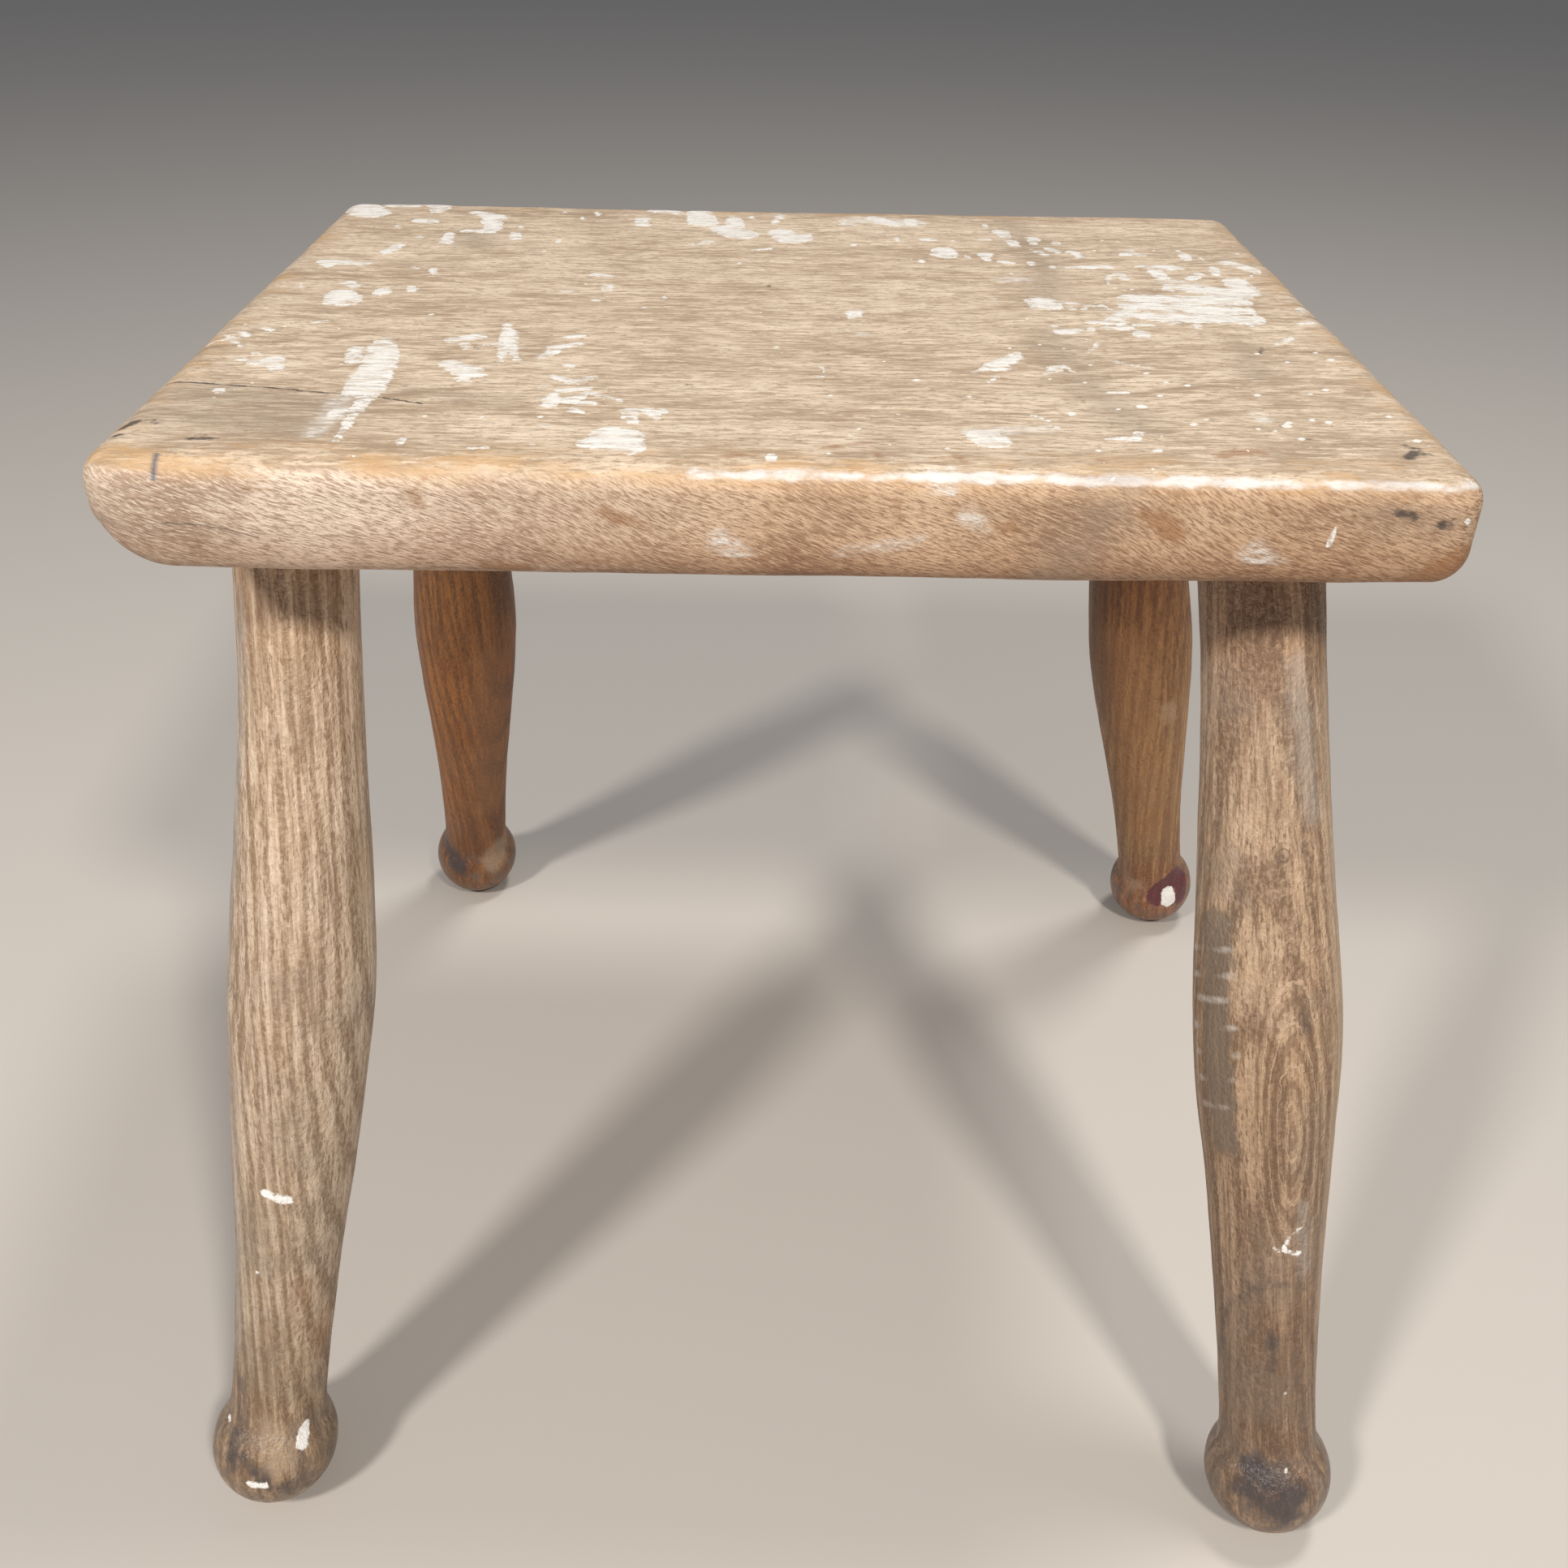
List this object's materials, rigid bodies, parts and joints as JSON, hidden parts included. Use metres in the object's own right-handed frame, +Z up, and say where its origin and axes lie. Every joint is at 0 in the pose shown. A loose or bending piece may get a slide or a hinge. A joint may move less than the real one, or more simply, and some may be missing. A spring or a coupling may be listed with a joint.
{
  "type": "four-legged wooden stool",
  "caption": "Low rustic stool: a thick rectangular plank seat on splayed turned legs with swollen middles and ball feet.",
  "frame": {"origin": "on the floor, under the middle of the stool's bounding box", "axes": "+Z up, +X along the seat's long side to the right as seen from the front, +Y from the front to the back"},
  "size_m": [0.3558, 0.3514, 0.315],
  "materials": {
    "seat_wood": "worn bare wood with a rubbed sheen and dabs of white paint",
    "leg_wood": "worn satin wood, darker with age"
  },
  "bodies": {
    "root": {"seat": "seat_wood", "leg_front_left": "leg_wood", "leg_front_right": "leg_wood", "leg_back_left": "leg_wood", "leg_back_right": "leg_wood"}
  },
  "joints": []
}
